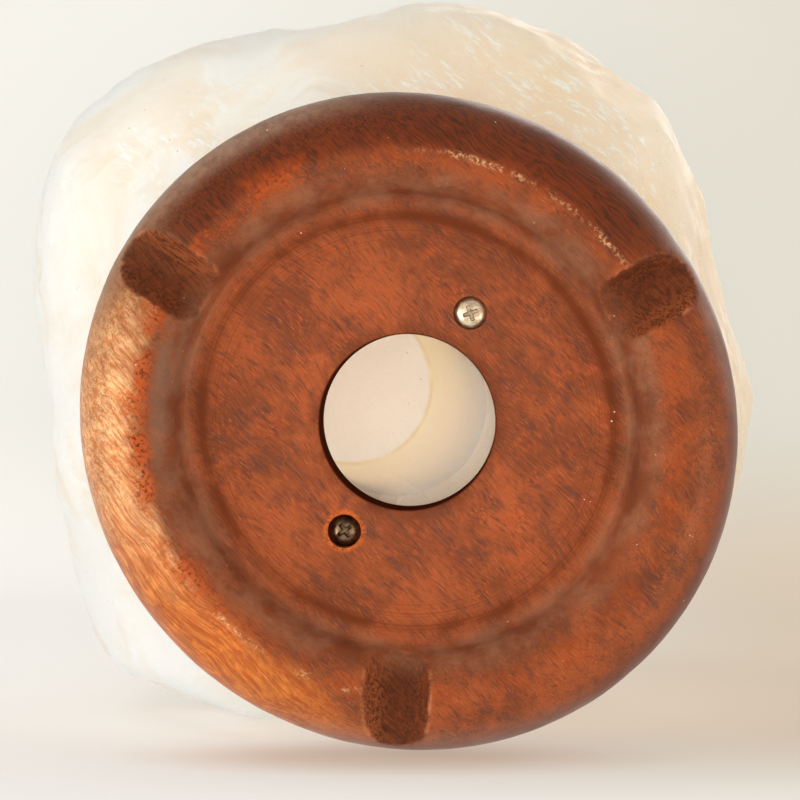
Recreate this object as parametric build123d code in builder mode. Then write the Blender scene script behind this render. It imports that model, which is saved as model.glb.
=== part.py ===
from build123d import *
import os
from math import cos, radians, sin, tan

# A salt crystal lamp standing upright: a rough block of rock salt on a turned wooden base.
# Millimetres. +Z is up, Z = 0 is the plane it rests on, and the origin is under the middle of the
# lamp's outline. Turns are degrees about +Z from +X. The stone overhangs the base unevenly, most
# towards -X and -Y, so the axis of the base stands off the middle.
axis_x = 7.15
axis_y = 12.3

# ---- Turned wooden base ----
base_diameter = 152.8  # along the grain
grain_turn = 45  # the way the grain runs
grain_shrinkage = 0.963  # size left across the grain
base_thickness = 27
web_thickness = 17  # wood left between the recess and the stone
crest_width = 0.4  # level ring on the crest of the rim
crest_facing = 0.02  # cut off the crest, which leaves the flat land that the lamp rests on
recess_wall_slope = 75  # degrees from the recess floor
recess_wall_round = 9.8  # from the land into the recess wall
recess_cove = 3.6  # from the recess wall into its floor
hole_diameter = 40  # for the spring clips of a lampholder

# ---- Three scooped notches across the rim, for the cord and for air ----
notch_radius = 6.9
notch_turns = (92, 212, 332)

# ---- Two pan-head screws up through the base into plugs in the salt ----
screw_circle_diameter = 57.2
screw_length = 40
screw_diameter = 4
screw_tip_length = 5
screw_head_diameter = 7.3
screw_head_height = 2.5
screw_head_side = 1.1  # straight side of the head, under its dome
cross_length = 3.8
cross_width = 1.0
cross_depth = 1.7
cross_taper = 8
counterbore_clearance = 0.15  # around the head
shank_clearance = 0.3  # around the shank in the wood
upper_seat_depth = 2.2  # of the counterbore, which leaves the head a little proud
lower_seat_depth = 3.6
# name, turn of the screw about the base, depth of its counterbore, turn of its cross recess
screws = (
    ("upper_right", 300, upper_seat_depth, 20),
    ("lower_left", 120, lower_seat_depth, 35),
)

# ---- Split wall plugs in the salt ----
plug_diameter = 6.4
plug_length = 30
plug_bore_clearance = 0.05  # around the screw
plug_slot_width = 1.0
plug_slot_share = 0.7  # of the plug's length
plug_hole_clearance = 0.1  # around the plug in the salt
plug_hole_spare = 4  # past the plug's end

# ---- Salt crystal ----
stone_height = 196  # from its seat on the base to its top
girth_radius = 91  # about the axis of the base, on average
stone_middle_height = 70  # above the seat, where the broken faces are measured from
# Radius of the girth every 20 degrees from +X, as shares of the average.
girth_shape = (
    *(0.90, 0.88, 0.89, 0.89, 0.825, 0.825, 0.965, 1.11, 1.035),
    *(1.01, 1.125, 1.225, 1.165, 1.095, 1.115, 1.08, 1.00, 0.90),
)
# Share of the height, size against the girth, roundness (1 is a circle), and lean towards +X and +Y
# in shares of the girth radius.
stone_levels = (
    (0.00, 0.68, 0.80, 0.00, 0.00),
    (0.09, 0.84, 0.50, 0.00, 0.00),
    (0.19, 0.96, 0.15, 0.00, 0.00),
    (0.32, 1.00, 0.00, 0.00, 0.00),
    (0.54, 0.99, 0.05, 0.00, 0.00),
    (0.74, 0.93, 0.20, 0.01, -0.02),
    (0.89, 0.82, 0.35, 0.03, -0.05),
    (1.00, 0.66, 0.50, 0.05, -0.09),
)
# Broken faces: turn and rise of the way they face, and reach in shares of the girth radius.
broken_faces = (
    # round the flank, facing a little down
    *((116, -14, 0.985), (161, -22, 1.0), (196, -16, 1.145), (231, -24, 1.155)),
    *((257, -16, 1.11), (306, -20, 1.055), (345, -12, 0.905)),
    # round the shoulders and the top
    *((20, 14, 0.90), (62, 40, 1.065), (105, 18, 0.88), (140, 50, 1.145), (186, 34, 1.185)),
    *((243, 46, 1.21), (292, 26, 1.145), (336, 52, 1.145), (75, 76, 1.295)),
)
# Chips struck off the corners: turn and rise of the way they face, and depth off the corner.
chips = (
    # under the flank
    *((40, -48, 3.0), (92, -42, 3.0), (146, -46, 3.5), (180, -40, 3.0), (214, -50, 4.0)),
    *((246, -42, 3.0), (284, -48, 3.5), (326, -42, 3.0)),
    # over the flank
    *((0, 20, 2.5), (40, 22, 3.0), (84, 34, 3.5), (122, 30, 3.5), (162, 26, 3.0), (214, 24, 3.5)),
    *((262, 22, 3.0), (318, 28, 3.0)),
    # round the top
    *((20, 50, 4.0), (100, 56, 4.0), (165, 56, 3.5), (212, 60, 4.0), (268, 62, 3.5), (312, 60, 4.0)),
)
bore_diameter = 42  # the light unit stands in it
bore_depth = 84
bore_offset_x = -3.5  # of its mouth from the axis of the base
bore_offset_y = -3.5
bore_tilt = 9.8  # from the vertical
bore_tilt_turn = 192  # the way it leans as it goes up

os.makedirs("parts", exist_ok=True)

base_radius = base_diameter / 2
recess_depth = base_thickness - web_thickness  # from the resting plane up to the recess floor
crest_radius = base_radius - base_thickness / 2  # where the round of the rim meets the crest
recess_wall_run = (recess_depth + crest_facing) / tan(radians(recess_wall_slope))
recess_round_run = recess_wall_round * tan(radians(recess_wall_slope / 2))
recess_mouth_radius = crest_radius - crest_width - recess_round_run
recess_foot_radius = recess_mouth_radius - recess_wall_run


def across(turn):
    """A plane through the axis of the base at the resting plane, facing out along a turn."""
    return Plane(origin=(axis_x, axis_y, 0), z_dir=(cos(radians(turn)), sin(radians(turn)), 0))


def pointing(turn, rise):
    """A direction of length 1, given by its turn about +Z and its rise from the level."""
    level = cos(radians(rise))
    return Vector(level * cos(radians(turn)), level * sin(radians(turn)), sin(radians(rise)))


def screw_plane(turn, height):
    """A plane across a screw's axis, facing down, the way the screw comes out."""
    radius = screw_circle_diameter / 2
    place = (axis_x + radius * cos(radians(turn)), axis_y + radius * sin(radians(turn)), height)
    return Plane(origin=place, x_dir=(1, 0, 0), z_dir=(0, 0, -1))


# ---- Wooden base ----
with BuildPart() as turned_blank:
    with BuildSketch(Plane.XZ):
        with BuildLine():
            FilletPolyline(
                (0, recess_depth),
                (recess_foot_radius, recess_depth),
                (recess_mouth_radius, -crest_facing),
                (crest_radius, -crest_facing),
                radius=[recess_cove, recess_wall_round],
            )
            ThreePointArc(
                (crest_radius, -crest_facing),
                (base_radius, base_thickness / 2),
                (crest_radius, base_thickness),
            )
            Polyline((crest_radius, base_thickness), (0, base_thickness), (0, recess_depth))
        make_face()
    revolve(axis=Axis.Z)
    scale(by=(1, grain_shrinkage, 1))

with BuildPart() as wooden_base:
    with Locations((axis_x, axis_y, 0)):
        add(turned_blank.part, rotation=(0, 0, grain_turn))
    split(bisect_by=Plane.XY, keep=Keep.TOP)
    for notch_turn in notch_turns:
        with BuildSketch(across(notch_turn)):
            Circle(notch_radius)
        extrude(amount=base_radius * 1.1, mode=Mode.SUBTRACT)
    with Locations((axis_x, axis_y, base_thickness)):
        Hole(hole_diameter / 2)
    for screw_name, screw_turn, seat_depth, cross_turn in screws:
        with Locations(screw_plane(screw_turn, recess_depth)):
            CounterBoreHole(
                screw_diameter / 2 + shank_clearance,
                screw_head_diameter / 2 + counterbore_clearance,
                seat_depth,
            )
wooden_base.part.label = "wooden_base"
export_step(wooden_base.part, "parts/wooden_base.step")

# ---- Salt crystal ----
bore_direction = (
    sin(radians(bore_tilt)) * cos(radians(bore_tilt_turn)),
    sin(radians(bore_tilt)) * sin(radians(bore_tilt_turn)),
    cos(radians(bore_tilt)),
)
bore_mouth = Plane(
    origin=(axis_x + bore_offset_x, axis_y + bore_offset_y, base_thickness), z_dir=bore_direction
)
bore_lead = bore_diameter / 2  # the bore's cutter starts this far before the seat

girth_step = 360 / len(girth_shape)

with BuildPart() as salt_crystal:
    for share, size, roundness, lean_x, lean_y in stone_levels:
        middle_x = axis_x + lean_x * girth_radius
        middle_y = axis_y + lean_y * girth_radius
        outline = []
        for index, shape in enumerate(girth_shape):
            radius = girth_radius * size * (roundness + shape * (1 - roundness))
            turn = radians(index * girth_step)
            outline.append((middle_x + radius * cos(turn), middle_y + radius * sin(turn)))
        with BuildSketch(Plane.XY.offset(base_thickness + share * stone_height)):
            with BuildLine():
                Spline(outline, periodic=True)
            make_face()
    loft()
    stone_middle = Vector(axis_x, axis_y, base_thickness + stone_middle_height)
    for turn, rise, reach in broken_faces:
        facing = pointing(turn, rise)
        face_plane = Plane(origin=stone_middle + facing * reach * girth_radius, z_dir=facing)
        split(bisect_by=face_plane, keep=Keep.BOTTOM)
    for turn, rise, depth in chips:
        facing = pointing(turn, rise)
        corner = max(facing.dot(Vector(*vertex)) for vertex in salt_crystal.vertices())
        split(bisect_by=Plane(origin=facing * (corner - depth), z_dir=facing), keep=Keep.BOTTOM)
    with BuildSketch(bore_mouth.offset(-bore_lead)):
        Circle(bore_diameter / 2)
    extrude(amount=bore_lead + bore_depth, mode=Mode.SUBTRACT)
    for screw_name, screw_turn, seat_depth, cross_turn in screws:
        with Locations(screw_plane(screw_turn, base_thickness)):
            Hole(plug_diameter / 2 + plug_hole_clearance, depth=plug_length + plug_hole_spare)
salt_crystal.part.label = "salt_crystal"
export_step(salt_crystal.part, "parts/salt_crystal.step")

# ---- Screws and their plugs ----
for screw_name, screw_turn, seat_depth, cross_turn in screws:
    seat = screw_plane(screw_turn, recess_depth + seat_depth)  # where the head bears on the wood
    screw_axis = Axis(seat.origin, seat.z_dir)
    screw_section = Plane(origin=seat.origin, x_dir=seat.x_dir, z_dir=-seat.y_dir)
    with BuildPart() as screw:
        with BuildSketch(screw_section):
            with BuildLine():
                TangentArc(
                    (0, screw_head_height),
                    (screw_head_diameter / 2, screw_head_side),
                    tangent=(1, 0),
                )
                Polyline(
                    (screw_head_diameter / 2, screw_head_side),
                    (screw_head_diameter / 2, 0),
                    (screw_diameter / 2, 0),
                    (screw_diameter / 2, screw_tip_length - screw_length),
                    (0, -screw_length),
                    (0, screw_head_height),
                )
            make_face()
        revolve(axis=screw_axis)
        with BuildSketch(seat.offset(screw_head_height)):
            Rectangle(cross_length, cross_width, rotation=cross_turn)
            Rectangle(cross_width, cross_length, rotation=cross_turn)
        extrude(amount=-cross_depth, taper=cross_taper, mode=Mode.SUBTRACT)
    screw.part.label = f"screw_{screw_name}"
    export_step(screw.part, f"parts/screw_{screw_name}.step")

    plug_mouth = screw_plane(screw_turn, base_thickness)
    with BuildPart() as wall_plug:
        with BuildSketch(plug_mouth):
            Circle(plug_diameter / 2)
            Circle(screw_diameter / 2 + plug_bore_clearance, mode=Mode.SUBTRACT)
        extrude(amount=-plug_length)
        with BuildSketch(plug_mouth.offset(-plug_length)):
            Rectangle(plug_diameter * 1.2, plug_slot_width)
            Rectangle(plug_slot_width, plug_diameter * 1.2)
        extrude(amount=plug_length * plug_slot_share, mode=Mode.SUBTRACT)
    wall_plug.part.label = f"wall_plug_{screw_name}"
    export_step(wall_plug.part, f"parts/wall_plug_{screw_name}.step")
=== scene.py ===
import bmesh
import bpy
from math import atan2, cos, radians, sin
from mathutils import Matrix, Vector, noise


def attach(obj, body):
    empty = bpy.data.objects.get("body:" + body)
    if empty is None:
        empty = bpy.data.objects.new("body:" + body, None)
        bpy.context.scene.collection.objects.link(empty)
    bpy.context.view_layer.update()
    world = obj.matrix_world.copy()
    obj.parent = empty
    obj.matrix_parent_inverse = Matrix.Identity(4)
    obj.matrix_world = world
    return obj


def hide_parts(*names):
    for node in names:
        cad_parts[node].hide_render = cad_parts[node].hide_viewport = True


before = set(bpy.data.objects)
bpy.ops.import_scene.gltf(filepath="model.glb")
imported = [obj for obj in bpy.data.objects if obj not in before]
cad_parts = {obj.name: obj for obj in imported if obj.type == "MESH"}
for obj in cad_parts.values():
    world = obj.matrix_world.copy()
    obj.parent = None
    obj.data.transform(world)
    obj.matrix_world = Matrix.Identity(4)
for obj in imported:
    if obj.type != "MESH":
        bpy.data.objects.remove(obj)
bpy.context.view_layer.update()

noise.seed_set(1)  # or noise_vector takes its offsets from the clock, and each run differs

# A salt crystal lamp: a rough block of rock salt on a turned wooden base. Metres, in the frame of
# the CAD model: the lamp stands on Z = 0. The camera looks up at the underside of the base, with
# the back of the lamp (+Y) at the bottom of the picture.

mm = 0.001
axis_x = 7.15 * mm  # the axis of the wooden base
axis_y = 12.3 * mm
seat_height = 27 * mm  # the top of the base, which the stone stands on
recess_depth = 10 * mm
hole_radius = 20 * mm
counterbore_radius = 3.8 * mm
counterbore_depths = (2.2 * mm, 3.6 * mm)  # of the upper and of the lower screw
shank_hole_radius = 2.3 * mm

bore_diameter = 42 * mm
bore_depth = 84 * mm
bore_mouth = Vector((axis_x - 3.5 * mm, axis_y - 3.5 * mm, seat_height))
bore_tilt = radians(9.8)
bore_tilt_turn = radians(192)
bore_direction = Vector(
    (sin(bore_tilt) * cos(bore_tilt_turn), sin(bore_tilt) * sin(bore_tilt_turn), cos(bore_tilt))
)
screw_circle = 28.6 * mm
screw_turns = (radians(300), radians(120))
plug_hole_radius = 3.3 * mm
plug_hole_depth = 34 * mm
notch_turns = (92, 212, 332)  # degrees about the axis of the base


# ---- Camera, where the photograph's stood ----
def look(place, right, up, lens):
    """A camera at a place, with its picture's right and up directions."""
    right = Vector(right).normalized()
    back = right.cross(Vector(up)).normalized()
    up = back.cross(right)
    turned = Matrix((right, up, back)).transposed().to_4x4()
    camera = bpy.data.objects.new("camera", bpy.data.cameras.new("camera"))
    camera.matrix_world = Matrix.Translation(place) @ turned
    camera.data.lens = lens
    camera.data.sensor_width = 36
    bpy.context.scene.collection.objects.link(camera)
    bpy.context.scene.camera = camera


look(
    place=(30.45 * mm, -11.0 * mm, -686.0 * mm),
    right=(0.999359, 0, 0.035798),
    up=(-0.000937, -0.999657, 0.026161),
    lens=138.2,
)


# ---- Materials ----
def tint(red, green, blue):
    """A colour as a screen shows it, 0 to 255, or a little over on the stage, as shaders want it."""
    parts = [part / 255 for part in (red, green, blue)]
    return tuple(p / 12.92 if p < 0.04045 else ((p + 0.055) / 1.055) ** 2.4 for p in parts) + (1,)


class Finish:
    """A material and the nodes that make its pattern."""

    def __init__(self, name):
        self.material = bpy.data.materials.new(name)
        self.material.use_nodes = True
        self.tree = self.material.node_tree
        self.tree.nodes.clear()

    def node(self, kind, inputs=None, **settings):
        made = self.tree.nodes.new("ShaderNode" + kind)
        for name, value in settings.items():
            setattr(made, name, value)
        for name, value in (inputs or {}).items():
            if isinstance(value, bpy.types.NodeSocket):
                self.tree.links.new(value, made.inputs[name])
            else:
                made.inputs[name].default_value = value
        return made

    def place(self, centre=(0, 0, 0), turn=(0, 0, 0), unit=(mm, mm, mm)):
        """Object coordinates in millimetres from a centre, turned, and stretched by the unit."""
        coordinates = self.node("TexCoord").outputs["Object"]
        mapping = {"Vector": coordinates, "Location": centre, "Rotation": turn, "Scale": unit}
        return self.node("Mapping", mapping, vector_type="TEXTURE").outputs[0]

    def noise(self, vector, size, detail=3, roughness=0.5, distortion=0):
        """Cloudy noise from 0 to 1 with features of a size in millimetres."""
        inputs = {"Vector": vector, "Scale": 1 / size, "Detail": detail, "Roughness": roughness}
        inputs["Distortion"] = distortion
        return self.node("TexNoise", inputs).outputs[0]

    def specks(self, vector, size):
        """The distance to the nearest of scattered points, in shares of their spacing."""
        return self.node("TexVoronoi", {"Vector": vector, "Scale": 1 / size}).outputs["Distance"]

    def step(self, value, start, end, low=0.0, high=1.0):
        """Goes smoothly from low to high as the value goes from start to end."""
        inputs = {"Value": value, "From Min": start, "From Max": end, "To Min": low, "To Max": high}
        return self.node("MapRange", inputs, interpolation_type="SMOOTHSTEP").outputs[0]

    def band(self, value, start, middle, end):
        """Rises from 0 at start to 1 at middle and falls to 0 at end."""
        rise = self.step(value, start, middle)
        return self.maths("MULTIPLY", rise, self.step(value, middle, end, 1, 0))

    def maths(self, operation, first, second=0.0):
        return self.node("Math", {0: first, 1: second}, operation=operation).outputs[0]

    def times(self, *values):
        result = values[0]
        for value in values[1:]:
            result = self.maths("MULTIPLY", result, value)
        return result

    def mix(self, share, under, over, blend="MIX"):
        """Colours laid over one another by a share from 0 to 1."""
        made = self.node("Mix", data_type="RGBA", blend_type=blend)
        for number, value in ((0, share), (6, under), (7, over)):
            if isinstance(value, bpy.types.NodeSocket):
                self.tree.links.new(value, made.inputs[number])
            else:
                made.inputs[number].default_value = value
        return made.outputs[2]

    def bump(self, height, distance, strength=1.0, normal=None):
        """A bump as deep as the distance, in metres."""
        inputs = {"Height": height, "Distance": distance, "Strength": strength}
        if normal is not None:
            inputs["Normal"] = normal
        return self.node("Bump", inputs).outputs[0]

    def done(self, shader):
        self.node("OutputMaterial", {"Surface": shader})
        return self.material


def rock_salt():
    """Pale, cloudy and translucent, more peach towards +X and painted paler towards -X as if lit, with
    frosty streaks, dark specks and painted light in its bore.
    """
    salt = Finish("rock_salt")
    here = salt.place()
    across = salt.node("SeparateXYZ", {0: here}).outputs
    # the stone's own peach tone, with painted light: paler towards -X, where the key light falls
    warmth = salt.step(across[0], -62, 62)
    colour = salt.mix(warmth, tint(253, 247, 238), tint(251, 213, 177))
    pink = salt.step(salt.noise(here, 40, 3, 0.5, 0.6), 0.44, 0.64)
    colour = salt.mix(salt.times(pink, 0.6), colour, tint(251, 218, 190))
    smoke = salt.step(salt.noise(here, 34, 4, 0.6, 0.8), 0.56, 0.72)
    colour = salt.mix(salt.times(smoke, 0.45), colour, tint(222, 206, 176))
    frost_places = salt.step(salt.noise(here, 30, 3), 0.46, 0.60)
    drawn = salt.place((0, 0, 0), (0, radians(20), radians(40)), (4 * mm, mm, mm))
    frost = salt.step(salt.noise(drawn, 1.7, 5, 0.7, 0.4), 0.50, 0.66)
    colour = salt.mix(salt.times(frost, frost_places, 0.8), colour, tint(254, 250, 243))

    # the drilled bore: painted light, even and near white as if lit through the stone, a painted warm
    # bounce from the wood on the seat at its mouth, and a faint line of painted shade in the corner round
    # its end
    bore = salt.place(bore_mouth, bore_direction.to_track_quat("Z", "Y").to_euler())
    flat = salt.node("VectorMath", {0: bore, 1: (1, 1, 0)}, operation="MULTIPLY").outputs[0]
    from_bore = salt.node("VectorMath", {0: flat}, operation="LENGTH").outputs["Value"]
    along_bore = salt.node("SeparateXYZ", {0: bore}).outputs[2]
    depth = bore_depth / mm
    inside = salt.step(from_bore, 27, 25)
    drilled = salt.times(inside, salt.step(along_bore, depth + 1, depth + 0.4))
    wall = salt.step(from_bore, 20.0, 20.8)
    # painted light: the bore near white, as if lit through the stone
    warm = salt.mix(wall, tint(255, 248, 240), tint(255, 244, 228))
    # painted warm bounce from the wood: peach on the seat round the bore's mouth
    warm = salt.mix(salt.step(across[2], 27.7, 27.3, 0, 0.7), warm, tint(248, 212, 174))
    colour = salt.mix(drilled, colour, warm)
    # painted shade: a faint brown line in the corner where the bore's end meets its wall
    brown = salt.band(from_bore, 19.7, 20.6, 21.6)
    brown = salt.times(brown, salt.step(along_bore, depth - 1.8, depth - 0.6))
    brown = salt.times(brown, salt.step(salt.noise(here, 6, 3), 0.35, 0.6, 0.35, 0.9))
    colour = salt.mix(salt.times(brown, drilled, 0.17), colour, tint(200, 150, 110))

    dirt = salt.step(salt.specks(here, 3.1), 0.09, 0.05, 0, 1)
    rare = salt.step(salt.noise(here, 9, 2), 0.56, 0.64)
    colour = salt.mix(salt.times(dirt, rare, 0.6), colour, tint(150, 104, 66))
    roughness = salt.step(salt.noise(here, 5, 4), 0.3, 0.7, 0.42, 0.68)
    grain = salt.noise(here, 2.2, 6, 0.7)
    pits = salt.noise(here, 0.7, 3, 0.6)
    normal = salt.bump(grain, 0.7 * mm, 0.6)
    normal = salt.bump(pits, 0.25 * mm, 0.5, normal)
    normal = salt.bump(frost, 0.2 * mm, salt.times(frost_places, 0.5), normal)
    shader = salt.node(
        "BsdfPrincipled",
        {
            "Base Color": colour,
            "Roughness": roughness,
            "IOR": 1.54,
            "Specular Tint": (1.0, 0.94, 0.86, 1),
            "Subsurface Weight": 1.0,
            "Subsurface Radius": (1.0, 0.99, 0.98),
            "Subsurface Scale": 0.1,
            "Normal": normal,
        },
    )
    return salt.done(shader.outputs[0])


def stained_wood():
    """Red-brown stain over fibrous wood, worn and dusty, with turning marks in the hollow, and painted
    light and shade on the rim, in the notches and round the hole.
    """
    wood = Finish("stained_wood")
    centre = (axis_x, axis_y, 0)
    grain_turn = (0, 0, radians(45))
    here = wood.place(centre)
    disc = wood.place(centre, grain_turn, (mm, 0.963 * mm, 1000))
    radius = wood.node("VectorMath", {0: disc}, operation="LENGTH").outputs["Value"]
    sway = wood.node("TexNoise", {"Vector": here, "Scale": 1 / 24, "Detail": 2}).outputs["Color"]
    strayed = wood.node("VectorMath", {0: sway, 1: (7, 7, 7), 2: here}, operation="MULTIPLY_ADD")

    def fibres(long, wide, detail=2, roughness=0.55):
        """Noise drawn out along the grain, with features of a length and width in millimetres."""
        drawn = {"Vector": strayed.outputs[0], "Rotation": grain_turn, "Scale": (long, wide, wide)}
        along = wood.node("Mapping", drawn, vector_type="TEXTURE").outputs[0]
        return wood.noise(along, 1, detail, roughness)

    def towards(turn):
        """Millimetres from the axis along a turn."""
        way = wood.place(centre, (0, 0, radians(turn)))
        return wood.node("SeparateXYZ", {0: way}).outputs[0]

    def distance_from(turn, out):
        """Millimetres from an upright line at a turn and a radius."""
        place = Vector(centre) + out * Vector((cos(turn), sin(turn), 0))
        flat = wood.node("VectorMath", {0: wood.place(place), 1: (1, 1, 0)}, operation="MULTIPLY")
        return wood.node("VectorMath", {0: flat.outputs[0]}, operation="LENGTH").outputs["Value"]

    clouds = wood.noise(here, 16, 4, 0.6, 0.5)
    patches = wood.noise(here, 5.5, 5, 0.65, 0.6)
    crumbs = wood.noise(here, 0.9, 4, 0.7)
    height = wood.node("SeparateXYZ", {0: here}).outputs[2]
    fine = fibres(2.8, 0.23)
    strands = fibres(8, 0.5, 3)
    streaks = fibres(24, 0.9, 3)
    blotches = fibres(6, 2.6, 4, 0.62)

    # stain over the grain
    colour = wood.mix(wood.step(clouds, 0.36, 0.64), tint(144, 70, 37), tint(110, 54, 31))
    colour = wood.mix(wood.step(patches, 0.50, 0.72, 0, 0.5), colour, tint(154, 62, 31))
    clustered = wood.maths("ADD", wood.times(blotches, 0.62), wood.times(strands, 0.38))
    grey = wood.times(wood.step(clustered, 0.49, 0.60), wood.step(clouds, 0.34, 0.60, 0.30, 0.75))
    colour = wood.mix(grey, colour, tint(84, 48, 38))
    dark = wood.times(wood.step(fine, 0.50, 0.70), wood.step(strands, 0.40, 0.62, 0.25, 0.85))
    colour = wood.mix(wood.times(dark, 0.85), colour, tint(68, 34, 25))
    light = wood.times(wood.step(fine, 0.48, 0.28), wood.step(patches, 0.40, 0.60, 0.2, 0.6))
    colour = wood.mix(light, colour, tint(172, 94, 54))

    # the hollow: turning marks, a dark ring in its corner that is partly stain and partly painted shade,
    # brown slopes with dust on them
    turning = wood.node("TexNoise", {"W": radius, "Scale": 1.9, "Detail": 3}, noise_dimensions="1D")
    lathe = wood.times(wood.step(turning.outputs[0], 0.45, 0.7), wood.band(radius, 38, 46, 58))
    colour = wood.mix(wood.times(lathe, 0.5), colour, tint(92, 38, 14))
    # partly a darker stain, partly painted shade in the corner of the hollow
    corner = wood.times(wood.band(radius, 45.2, 47.7, 50.2), wood.step(clouds, 0.34, 0.62, 0.30, 0.90))
    colour = wood.mix(corner, colour, tint(88, 34, 12))
    slope = wood.band(radius, 48.5, 54, 61)
    colour = wood.mix(wood.times(slope, 0.5), colour, tint(120, 64, 40))
    dust = wood.times(slope, wood.step(wood.noise(here, 12, 5, 0.65), 0.40, 0.62))
    colour = wood.mix(wood.times(dust, 0.5), colour, tint(156, 110, 82))
    worn = wood.times(wood.band(radius, 51, 57, 61), wood.band(towards(186), 44, 56, 66))
    worn = wood.times(worn, wood.step(patches, 0.38, 0.62, 0.1, 0.9))
    worn = wood.times(worn, wood.step(strands, 0.36, 0.6, 0.5, 1))
    colour = wood.mix(worn, colour, tint(108, 78, 62))

    # the rim: painted highlight over the grain on the left and lower left, a red-black stain with painted
    # shade at the front, dust with a painted sheen on its outer edge, and painted shade on that edge at
    # the right
    # painted highlight: the left and lower-left rim paler and more golden where the key light falls, over
    # its streaks
    left = wood.times(wood.step(towards(160), 26, 56), wood.step(radius, 59, 65))
    painted_golden_highlight = wood.mix(wood.step(streaks, 0.40, 0.64), tint(248, 194, 138), tint(222, 140, 80))
    painted_amber_light = wood.mix(wood.step(streaks, 0.40, 0.64), tint(226, 132, 58), tint(184, 88, 38))
    painted_golden_highlight = wood.mix(wood.step(towards(112), 36, 62), painted_golden_highlight, painted_amber_light)
    painted_golden_highlight = wood.mix(wood.times(wood.step(clustered, 0.50, 0.62), 0.5), painted_golden_highlight, tint(172, 94, 54))
    painted_golden_highlight = wood.mix(wood.times(wood.step(fine, 0.46, 0.66), 0.55), painted_golden_highlight, tint(150, 76, 36))
    shown = wood.times(left, wood.step(patches, 0.34, 0.56, 0.95, 0.62))
    colour = wood.mix(shown, colour, painted_golden_highlight)
    # a red-black stain with painted shade at the front (-Y) of the rim, where little light falls
    front = wood.times(wood.step(towards(268), 10, 48), wood.step(radius, 60.5, 64.5))
    red_black_stain_and_shade = wood.mix(wood.step(strands, 0.38, 0.66), tint(92, 34, 16), tint(44, 20, 13))
    colour = wood.mix(wood.times(front, 0.82), colour, red_black_stain_and_shade)
    # dust with a painted sheen on the outer edge at the upper left
    dust_and_sheen = wood.times(wood.step(towards(228), 52, 71), wood.step(radius, 69, 75))
    dust_and_sheen = wood.times(dust_and_sheen, wood.step(wood.noise(here, 3, 5, 0.7), 0.36, 0.62, 0.3, 0.75))
    colour = wood.mix(dust_and_sheen, colour, tint(152, 114, 86))
    shaded = wood.times(wood.step(radius, 71.5, 75.5), wood.step(towards(20), -20, 30), 0.7)
    colour = wood.mix(shaded, colour, tint(88, 40, 22))

    # the crest: finish broken away to red and black crumbs on the left, rubbed pale in two places
    crest = wood.band(radius, 57.5, 62, 67)
    beside_left = wood.step(towards(190), 22, 52, 0.25, 1.0)
    flakes = wood.step(wood.noise(here, 10, 4, 0.6, 0.8), 0.42, 0.58)
    broken = wood.times(crest, beside_left, flakes)
    colour = wood.mix(wood.times(broken, 0.75), colour, tint(186, 74, 22))
    colour = wood.mix(wood.times(broken, wood.step(crumbs, 0.48, 0.60), 0.85), colour, tint(52, 24, 15))
    either_side = wood.step(wood.maths("ABSOLUTE", towards(125)), 46, 59)
    rubbed = wood.times(wood.band(radius, 61.3, 62.6, 64.0), either_side)
    stretches = wood.step(wood.noise(here, 7, 4, 0.6), 0.43, 0.57, 0, 0.8)
    rubbed = wood.times(rubbed, wood.step(crumbs, 0.46, 0.62), stretches)
    colour = wood.mix(rubbed, colour, tint(226, 172, 124))

    # the edge of the hole, darkened by handling, with painted shade on the hole's own wall, and crumbs
    # round the screw that was sunk deeper
    from_hole = distance_from(0, 0)
    handled_and_shaded = wood.times(wood.step(from_hole, 24, 20.2), wood.step(patches, 0.36, 0.62, 0.15, 0.75))
    # painted shade: the hole's own wall dark brown
    handled_and_shaded = wood.maths("MAXIMUM", handled_and_shaded, wood.step(from_hole, 20.5, 20.1))
    colour = wood.mix(handled_and_shaded, colour, tint(70, 30, 16))
    sunk = wood.band(distance_from(screw_turns[1], screw_circle), 3.4, 4.1, 5.4)
    colour = wood.mix(wood.times(sunk, wood.step(crumbs, 0.42, 0.56), 0.9), colour, tint(178, 84, 30))

    # the notches, left rough from the cutter: painted shade darker where deep, painted light on one wall,
    # and a painted highlight along part of the edge
    inside = painted_edge_highlight = lit = 0.0
    ragged = wood.step(patches, 0.3, 0.7, -0.3, 0.3)
    for turn in notch_turns:
        along = wood.place(centre, (0, 0, radians(turn)))
        parts = wood.node("SeparateXYZ", {0: along}).outputs
        across = wood.node("VectorMath", {0: along, 1: (0, 1, 1)}, operation="MULTIPLY").outputs[0]
        away = wood.node("VectorMath", {0: across}, operation="LENGTH").outputs["Value"]
        away = wood.maths("ADD", away, ragged)
        ahead = wood.step(parts[0], 43, 61)
        within = wood.times(wood.step(away, 8.0, 7.0), ahead)
        inside = wood.maths("MAXIMUM", inside, within)
        lit = wood.maths("MAXIMUM", lit, wood.times(wood.step(parts[1], -2.5, 5), within))
        painted_edge_highlight = wood.maths("MAXIMUM", painted_edge_highlight, wood.times(wood.band(away, 7.2, 7.7, 8.5), ahead))
    rough = wood.mix(wood.step(crumbs, 0.36, 0.64), tint(122, 58, 30), tint(70, 32, 18))
    rough = wood.mix(wood.step(patches, 0.46, 0.66, 0, 0.7), rough, tint(140, 66, 34))
    rough = wood.mix(wood.times(lit, wood.step(strands, 0.60, 0.42, 0.15, 0.8)), rough, tint(158, 84, 48))
    rough = wood.mix(wood.step(strands, 0.46, 0.66, 0, 0.6), rough, tint(62, 30, 18))
    # painted shade, darker towards the bottom of each notch
    rough = wood.mix(wood.step(height, 3.5, 6.8, 0, 0.55), rough, tint(52, 24, 14))
    colour = wood.mix(wood.times(inside, 0.94), colour, rough)
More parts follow.
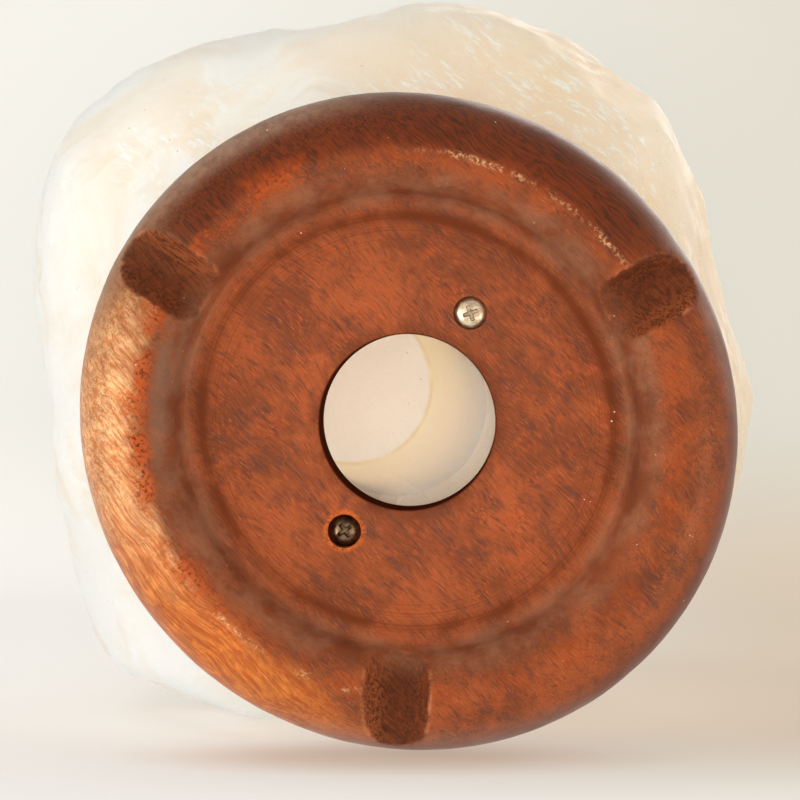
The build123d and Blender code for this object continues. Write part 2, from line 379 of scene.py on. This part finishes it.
    # painted highlight along part of the notches' edges
    colour = wood.mix(wood.times(painted_edge_highlight, wood.step(patches, 0.46, 0.64, 0, 0.55)), colour, tint(184, 112, 72))

    # dust specks
    speck = wood.times(wood.step(wood.specks(here, 2.2), 0.10, 0.06), wood.step(patches, 0.60, 0.66))
    colour = wood.mix(wood.times(speck, 0.85), colour, tint(240, 220, 196))

    normal = wood.bump(fine, 0.05 * mm, 0.6)
    normal = wood.bump(strands, 0.08 * mm, 0.5, normal)
    turned = wood.times(wood.band(radius, 38, 47, 62), 0.6)
    normal = wood.bump(turning.outputs[0], 0.06 * mm, turned, normal)
    crumbly = wood.maths("MAXIMUM", inside, wood.times(broken, 0.8))
    normal = wood.bump(crumbs, 0.5 * mm, crumbly, normal)
    shine = wood.step(clouds, 0.3, 0.7, 0.34, 0.46)
    shader = wood.node(
        "BsdfPrincipled",
        {
            "Base Color": colour,
            "Specular IOR Level": wood.step(from_hole, 20.1, 20.6, 0, 0.34),
            "Specular Tint": (1.0, 0.62, 0.35, 1),
            "Roughness": wood.maths("MAXIMUM", shine, wood.times(crumbly, 0.75)),
            "Normal": normal,
        },
    )
    return wood.done(shader.outputs[0])


def steel(name, colour, worn_colour, roughness):
    """A screw's steel, duller in patches."""
    metal = Finish(name)
    here = metal.place()
    patches = metal.step(metal.noise(here, 1.6, 4, 0.6), 0.40, 0.62)
    shader = metal.node(
        "BsdfPrincipled",
        {
            "Base Color": metal.mix(patches, colour, worn_colour),
            "Metallic": 1.0,
            "Roughness": metal.step(metal.noise(here, 0.8, 3), 0.3, 0.7, roughness, roughness + 0.2),
            "Normal": metal.bump(metal.noise(here, 0.5, 3), 0.04 * mm, 0.6),
        },
    )
    return metal.done(shader.outputs[0])


def moulded_nylon():
    """Grey, with a faint mottle."""
    nylon = Finish("plug_nylon")
    here = nylon.place()
    mottle = nylon.noise(here, 2.0, 3)
    shader = nylon.node(
        "BsdfPrincipled",
        {
            "Base Color": nylon.mix(mottle, tint(214, 214, 210), tint(186, 186, 182)),
            "Roughness": nylon.step(mottle, 0.3, 0.7, 0.45, 0.6),
            "Normal": nylon.bump(mottle, 0.05 * mm, 0.4),
        },
    )
    return nylon.done(shader.outputs[0])


# ---- The stone ----
def smoothly(value, start, end):
    share = min(max((value - start) / (end - start), 0), 1)
    return share * share * (3 - 2 * share)


def copy_of(node, name):
    """A merged copy of a CAD node's mesh, in an object of its own."""
    shape = bmesh.new()
    shape.from_mesh(bpy.data.objects[node].data)
    bmesh.ops.remove_doubles(shape, verts=shape.verts, dist=0.005 * mm)
    mesh = bpy.data.meshes.new(name)
    shape.to_mesh(mesh)
    shape.free()
    piece = bpy.data.objects.new(name, mesh)
    bpy.context.scene.collection.objects.link(piece)
    return piece


def settle(piece):
    """Makes what the piece's modifiers give its own mesh."""
    graph = bpy.context.evaluated_depsgraph_get()
    mesh = bpy.data.meshes.new_from_object(piece.evaluated_get(graph))
    piece.modifiers.clear()
    piece.data = mesh
    mesh.name = piece.name


def cut_away(piece, cutter):
    """Takes a shape out of a piece."""
    mesh = bpy.data.meshes.new("cutter")
    cutter.to_mesh(mesh)
    cutter.free()
    tool = bpy.data.objects.new("cutter", mesh)
    bpy.context.scene.collection.objects.link(tool)
    cutting = piece.modifiers.new("cut", "BOOLEAN")
    cutting.operation = "DIFFERENCE"
    cutting.solver = "EXACT"
    cutting.object = tool
    settle(piece)
    bpy.data.objects.remove(tool)


def dress(piece, material, node, sharp):
    """Gives a piece its finish and puts it in the place of a CAD node."""
    piece.data.materials.clear()
    piece.data.materials.append(material)
    piece.data.shade_smooth()
    piece.data.set_sharp_from_angle(angle=radians(sharp))
    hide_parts(node)
    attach(piece, "root")


# lumps and hollows pushed out of the flank: turn about the base, height, push, spread
lumps = (
    (152, 85, 1.6, 12),
    (176, 85, -1.3, 15),
    (203, 85, 1.2, 18),
    (269, 85, 0.7, 15),
    (285, 88, -1.2, 9),
    (305, 85, 1.2, 7),
    (355, 85, -0.8, 12),
)


def roughen(point):
    """How far a point of the stone's skin moves out, in millimetres."""
    place = point / mm
    rolling = noise.fractal(place / 42, 0.9, 2.0, 3) * 2.6
    near = noise.voronoi(place / 21 + Vector((3.1, 0, 0)) + noise.noise_vector(place / 30) * 0.3)[0][0]
    chipped = (near - 0.42) * 2.4
    small = noise.fractal(place / 7 + Vector((0, 9, 0)), 0.8, 2.0, 3) * 0.45
    return rolling + chipped + small


def salt_stone():
    stone = copy_of("salt_crystal", "rough_salt_crystal")
    remesh = stone.modifiers.new("even", "REMESH")
    remesh.mode = "VOXEL"
    remesh.voxel_size = 1.6 * mm
    settle(stone)
    shape = bmesh.new()
    shape.from_mesh(stone.data)
    for turn in range(3):
        bmesh.ops.smooth_vert(
            shape, verts=shape.verts, factor=0.5, use_axis_x=True, use_axis_y=True, use_axis_z=True
        )
    shape.normal_update()
    moves = []
    for vert in shape.verts:
        rise = (vert.co.z - seat_height) / mm
        from_mouth = vert.co - bore_mouth
        along = from_mouth.dot(bore_direction)
        from_axis = (from_mouth - along * bore_direction).length
        if from_axis < bore_diameter / 2 + 1.5 * mm and along < bore_depth + 2 * mm:
            moves.append(vert.normal * 0.9 * mm)
        elif rise < 1.5:
            moves.append(vert.normal * 0.8 * mm)
        else:
            push = roughen(vert.co) * smoothly(rise, 0, 14)
            turn_x, turn_y = vert.co.x - axis_x, vert.co.y - axis_y
            for turn, height, reach, spread in lumps:
                side = Vector((cos(radians(turn)), sin(radians(turn)), 0))
                if side.x * turn_x + side.y * turn_y > 0:
                    beside = (side.y * turn_x - side.x * turn_y) / mm
                    away = (beside**2 + (vert.co.z / mm - height) ** 2) / spread**2
                    push += reach * 2.718 ** (-away)
            moves.append(vert.normal * push * mm)
    for vert, move in zip(shape.verts, moves):
        vert.co += move
    shape.to_mesh(stone.data)
    shape.free()
    cut_bore(stone)
    dress(stone, rock_salt(), "salt_crystal", 60)


def cut_bore(stone):
    """Cuts the seat, the bore and the two plug holes back to their true sizes."""
    cutter = bmesh.new()
    turned = bore_direction.to_track_quat("Z", "Y").to_matrix().to_4x4()
    start = 20 * mm
    middle = bore_mouth + bore_direction * (bore_depth - start) / 2
    made = bmesh.ops.create_cone(
        cutter, cap_ends=True, segments=160, radius1=bore_diameter / 2, radius2=bore_diameter / 2,
        depth=bore_depth + start, matrix=Matrix.Translation(middle) @ turned,
    )
    far_edges = [
        edge
        for edge in cutter.edges
        if all((vert.co - bore_mouth).dot(bore_direction) > bore_depth - mm for vert in edge.verts)
    ]
    bmesh.ops.bevel(
        cutter, geom=far_edges, offset=1.2 * mm, segments=4, profile=0.5, affect="EDGES", material=-1
    )
    for turn in screw_turns:
        place = Vector(
            (
                axis_x + screw_circle * cos(turn),
                axis_y + screw_circle * sin(turn),
                seat_height + (plug_hole_depth - 10 * mm) / 2,
            )
        )
        bmesh.ops.create_cone(
            cutter, cap_ends=True, segments=32, radius1=plug_hole_radius, radius2=plug_hole_radius,
            depth=plug_hole_depth + 10 * mm, matrix=Matrix.Translation(place),
        )
    shape = bmesh.new()
    shape.from_mesh(stone.data)
    cut = bmesh.ops.bisect_plane(
        shape, geom=shape.verts[:] + shape.edges[:] + shape.faces[:],
        plane_co=(0, 0, seat_height), plane_no=(0, 0, 1), clear_inner=True,
    )
    rim = [item for item in cut["geom_cut"] if isinstance(item, bmesh.types.BMEdge)]
    bmesh.ops.triangle_fill(
        shape, edges=rim, use_beauty=True, use_dissolve=False, normal=(0, 0, -1)
    )
    bmesh.ops.recalc_face_normals(shape, faces=shape.faces)
    shape.to_mesh(stone.data)
    shape.free()
    cut_away(stone, cutter)


def drill(shape, spot, radius, top, segments):
    """Adds an upright cylinder to a cutter's shape."""
    bottom = -5 * mm
    bmesh.ops.create_cone(
        shape, cap_ends=True, segments=segments, radius1=radius, radius2=radius,
        depth=top - bottom, matrix=Matrix.Translation(spot + Vector((0, 0, (top + bottom) / 2))),
    )


def worn_base():
    """The turned base with its edges rounded by wear, its crest chipped and its notches rough."""
    base = copy_of("wooden_base", "worn_wooden_base")
    shape = bmesh.new()
    shape.from_mesh(base.data)
    # two discs fill the holes and even out the top; the holes are drilled again at the end
    for radius, low, high in ((34.5, 10, 27), (60, 20, 27.6)):
        middle = Vector((axis_x, axis_y, (low + high) / 2 * mm))
        bmesh.ops.create_cone(
            shape, cap_ends=True, segments=128, radius1=radius * mm, radius2=radius * mm,
            depth=(high - low) * mm, matrix=Matrix.Translation(middle),
        )
    shape.to_mesh(base.data)
    shape.free()
    remesh = base.modifiers.new("even", "REMESH")
    remesh.mode = "VOXEL"
    remesh.voxel_size = 0.85 * mm
    settle(base)
    shape = bmesh.new()
    shape.from_mesh(base.data)
    for turn in range(2):
        bmesh.ops.smooth_vert(
            shape, verts=shape.verts, factor=0.5, use_axis_x=True, use_axis_y=True, use_axis_z=True
        )
    shape.normal_update()
    moves, beside = [], []
    for vert in shape.verts:
        place = vert.co / mm
        from_axis = (vert.co - Vector((axis_x, axis_y, 0))) / mm
        radius = Vector((from_axis.x, from_axis.y, 0)).length
        turn = atan2(from_axis.y, from_axis.x)
        dents = noise.fractal(place / 9, 0.9, 2.0, 3) * 0.10
        crest = smoothly(radius, 55, 60) * smoothly(radius, 70, 64) * smoothly(place.z, 4, 1)
        left = 0.35 + 0.65 * smoothly(cos(turn - radians(190)), 0.2, 0.8)
        broken = smoothly(noise.fractal(place / 6 + Vector((7, 0, 0)), 0.9, 2.0, 3), 0.05, 0.5)
        crumbs = noise.fractal(place / 1.7, 0.7, 2.0, 2)
        push = dents - crest * left * broken * (0.35 + 0.35 * crumbs)
        for notch in notch_turns:
            out = Vector((cos(radians(notch)), sin(radians(notch)), 0))
            ahead = from_axis.dot(out)
            away = (from_axis - ahead * out).length
            if ahead > 20 and away < 9.5:
                push += smoothly(away, 8.5, 7.0) * crumbs * 0.2
                beside.append(vert)
        moves.append(vert.normal * push * mm)
    for vert, move in zip(shape.verts, moves):
        vert.co += move
    for turn in range(4):
        bmesh.ops.smooth_vert(
            shape, verts=beside, factor=0.5, use_axis_x=True, use_axis_y=True, use_axis_z=True
        )
    for vert in shape.verts:
        vert.co.z = min(max(vert.co.z, 0), seat_height)
    shape.to_mesh(base.data)
    shape.free()
    wide, narrow = bmesh.new(), bmesh.new()
    through = seat_height + 13 * mm
    drill(wide, Vector((axis_x, axis_y, 0)), hole_radius, through, 160)
    for turn, seat in zip(screw_turns, counterbore_depths):
        spot = Vector((axis_x + screw_circle * cos(turn), axis_y + screw_circle * sin(turn), 0))
        drill(wide, spot, counterbore_radius, recess_depth + seat, 48)
        drill(narrow, spot, shank_hole_radius, through, 32)
    cut_away(base, wide)
    cut_away(base, narrow)
    dress(base, stained_wood(), "wooden_base", 50)


worn_base()
salt_stone()

# ---- The screws and the plugs keep their CAD shapes ----
finishes = {
    "screw_upper_right": steel("bright_steel", tint(240, 220, 194), tint(196, 172, 144), 0.34),
    # the lower screw, sunk deeper, gets a darker copy of the steel: painted shade of its counterbore
    "screw_lower_left": steel("dark_steel", tint(140, 114, 88), tint(84, 62, 44), 0.30),
}
finishes["wall_plug_upper_right"] = finishes["wall_plug_lower_left"] = moulded_nylon()
for node, material in finishes.items():
    for place in bpy.data.objects[node].material_slots:
        place.material = material


# ---- Stage: a sweep beside the lamp for the photograph's view, and a floor for it standing ----
def stage_material(name, colour, light_share, fade):
    """Pale and one-sided: clear from behind, partly lit, and fading out to its edges."""
    sweep = Finish(name)
    here = sweep.place()
    parts = sweep.node("SeparateXYZ", {0: here}).outputs
    shown = colour(sweep, parts)
    painted = sweep.node("Emission", {"Color": shown, "Strength": 1.05})
    lit = sweep.node("BsdfDiffuse", {"Color": shown})
    clear = sweep.node("BsdfTransparent")
    faint = sweep.node("MixShader", {"Fac": light_share, 1: painted.outputs[0], 2: lit.outputs[0]})
    behind = sweep.node("NewGeometry").outputs["Backfacing"]
    hidden = sweep.maths("MAXIMUM", behind, fade(sweep, parts))
    both = sweep.node("MixShader", {"Fac": hidden, 1: faint.outputs[0], 2: clear.outputs[0]})
    return sweep.done(both.outputs[0])


def stage_piece(name, shape, material):
    mesh = bpy.data.meshes.new(name)
    shape.to_mesh(mesh)
    shape.free()
    mesh.shade_smooth()
    mesh.materials.append(material)
    piece = bpy.data.objects.new(name, mesh)
    bpy.context.scene.collection.objects.link(piece)
    for way in ("diffuse", "glossy", "transmission", "volume_scatter", "shadow"):
        setattr(piece, "visible_" + way, False)


pale = tint(242, 239, 230)


def floor_disc():
    shape = bmesh.new()
    bmesh.ops.create_circle(shape, cap_ends=True, segments=96, radius=0.9)

    def colour(sweep, parts):
        return pale

    def fade(sweep, parts):
        far = sweep.node("VectorMath", {0: sweep.place()}, operation="LENGTH").outputs["Value"]
        return sweep.step(far, 180, 420)

    stage_piece("floor", shape, stage_material("floor", colour, 0.5, fade))


def side_sweep():
    """The floor the lamp lies on in the photograph, which curves up behind it."""
    shape = bmesh.new()
    half_width = 0.26
    level = 88.3 * mm
    bend = 0.10
    last = None
    start = [Vector((side, level, -0.14)) for side in (half_width, -half_width)]
    ends = [shape.verts.new(place) for place in start]
    edge = shape.edges.new(ends)
    steps = [Vector((0, 0, 0.52))]
    for number in range(12):
        a0, a1 = radians(7.5 * number), radians(7.5 * (number + 1))
        steps.append(Vector((0, -bend * (cos(a0) - cos(a1)), bend * (sin(a1) - sin(a0)))))
    steps.append(Vector((0, -0.42, 0)))
    for move in steps:
        made = bmesh.ops.extrude_edge_only(shape, edges=[edge])["geom"]
        verts = [item for item in made if isinstance(item, bmesh.types.BMVert)]
        bmesh.ops.translate(shape, verts=verts, vec=move)
        edge = next(
            item
            for item in made
            if isinstance(item, bmesh.types.BMEdge) and set(item.verts) == set(verts)
        )
    bmesh.ops.recalc_face_normals(shape, faces=shape.faces)
    shape.faces.ensure_lookup_table()
    if shape.faces[0].normal.y > 0:
        bmesh.ops.reverse_faces(shape, faces=shape.faces)

    def colour(sweep, parts):
        # painted light and shade on the sweep: darker and warmer towards +X, where the lamp's shadow and
        # the wood's warm bounce fall, and brighter towards the near end, its lit part
        right = sweep.step(parts[0], -120, 150)
        near = sweep.step(parts[2], 60, -120)
        top = sweep.mix(right, tint(238, 236, 229), tint(222, 219, 207))
        low = sweep.mix(right, tint(252, 249, 243), tint(222, 207, 187))
        low = sweep.mix(sweep.times(near, 0.85), low, tint(265, 266, 262))
        # a painted warm shadow on the sweep under the lamp
        under_lamp = sweep.place((4 * mm, 0, 8 * mm), (0, 0, 0), (2.2 * mm, 1, mm))
        from_lamp = sweep.node("VectorMath", {0: under_lamp}, operation="LENGTH").outputs["Value"]
        low = sweep.mix(sweep.step(from_lamp, 34, 6, 0, 0.5), low, tint(214, 178, 146))
        return sweep.mix(sweep.step(parts[1], 20, 84), top, low)

    def fade(sweep, parts):
        return sweep.step(sweep.maths("ABSOLUTE", parts[0]), 190, 255)

    stage_piece("side_sweep", shape, stage_material("side_sweep", colour, 0.5, fade))


floor_disc()
side_sweep()


# ---- Light ----
def softbox(name, way, distance, size, power, colour=(1, 1, 1), mirrored=True):
    """A square soft light off the lamp's middle, facing it, mirrored by glossy surfaces or not."""
    light = bpy.data.lights.new(name, "AREA")
    light.shape = "SQUARE"
    light.size = size
    light.energy = power
    light.color = colour
    lamp = bpy.data.objects.new(name, light)
    way = Vector(way).normalized()
    middle = Vector((0, 0, 90 * mm))
    lamp.matrix_world = Matrix.Translation(middle + way * distance) @ way.to_track_quat(
        "Z", "Y"
    ).to_matrix().to_4x4()
    lamp.visible_glossy = mirrored
    bpy.context.scene.collection.objects.link(lamp)


softbox("key_left", (-0.75, 0.16, -0.62), 1.1, 0.6, 5.2, (1, 0.985, 0.96))
softbox("fill_right", (0.75, 0.25, -0.62), 1.2, 0.6, 3.4, (1, 0.96, 0.91))
softbox("front", (0.03, -0.05, -1.0), 1.4, 0.5, 12.0, (1, 0.985, 0.96), mirrored=False)
softbox("edge_front_left", (-0.54, -0.83, 0.1), 1.1, 0.5, 2.0)
softbox("bounce_back", (0.0, 0.97, 0.1), 1.0, 0.8, 2.0, (1, 0.97, 0.92))
softbox("edge_right", (0.85, -0.35, 0.35), 1.1, 0.6, 2.2, (1, 0.95, 0.88))
softbox("edge_left", (-0.8, 0.35, 0.45), 1.1, 0.6, 1.0, (1, 0.97, 0.93))
softbox("top", (0.3, -0.4, 0.85), 1.3, 0.8, 5.0)

# a narrow, nearly neutral spot up into the bore, which is there only to brighten it
snoot = bpy.data.lights.new("snoot", "SPOT")
snoot.energy = 31.0
snoot.color = (1, 0.98, 0.95)
snoot.spot_size = radians(3.3)
snoot.spot_blend = 0.15
snoot.shadow_soft_size = 40 * mm
snoot_place = Vector((-130, -55, -685)) * mm
snoot_lamp = bpy.data.objects.new("snoot", snoot)
snoot_way = snoot_place - Vector((axis_x, axis_y, 0))
snoot_lamp.matrix_world = Matrix.Translation(snoot_place) @ snoot_way.to_track_quat(
    "Z", "Y"
).to_matrix().to_4x4()
snoot_lamp.visible_glossy = False
bpy.context.scene.collection.objects.link(snoot_lamp)

# many bounces, because the bore is lit through the stone and from wall to wall
cycles = bpy.context.scene.cycles
cycles.diffuse_bounces = 24
cycles.max_bounces = 32

world = bpy.data.worlds.new("studio")
bpy.context.scene.world = world
world.use_nodes = True
sky = world.node_tree
sky.nodes.clear()
path = sky.nodes.new("ShaderNodeLightPath").outputs
shown = path["Is Camera Ray"]
for ray in ("Is Glossy Ray", "Is Transmission Ray"):
    either = sky.nodes.new("ShaderNodeMath")
    either.operation = "MAXIMUM"
    sky.links.new(shown, either.inputs[0])
    sky.links.new(path[ray], either.inputs[1])
    shown = either.outputs[0]
room = sky.nodes.new("ShaderNodeBackground")
room.inputs["Color"].default_value = (1, 0.98, 0.95, 1)
room.inputs["Strength"].default_value = 0.36
seen = sky.nodes.new("ShaderNodeBackground")
seen.inputs["Color"].default_value = pale
choice = sky.nodes.new("ShaderNodeMixShader")
sky.links.new(shown, choice.inputs[0])
sky.links.new(room.outputs[0], choice.inputs[1])
sky.links.new(seen.outputs[0], choice.inputs[2])
sky.links.new(choice.outputs[0], sky.nodes.new("ShaderNodeOutputWorld").inputs["Surface"])

bpy.context.scene.view_settings.view_transform = "Standard"
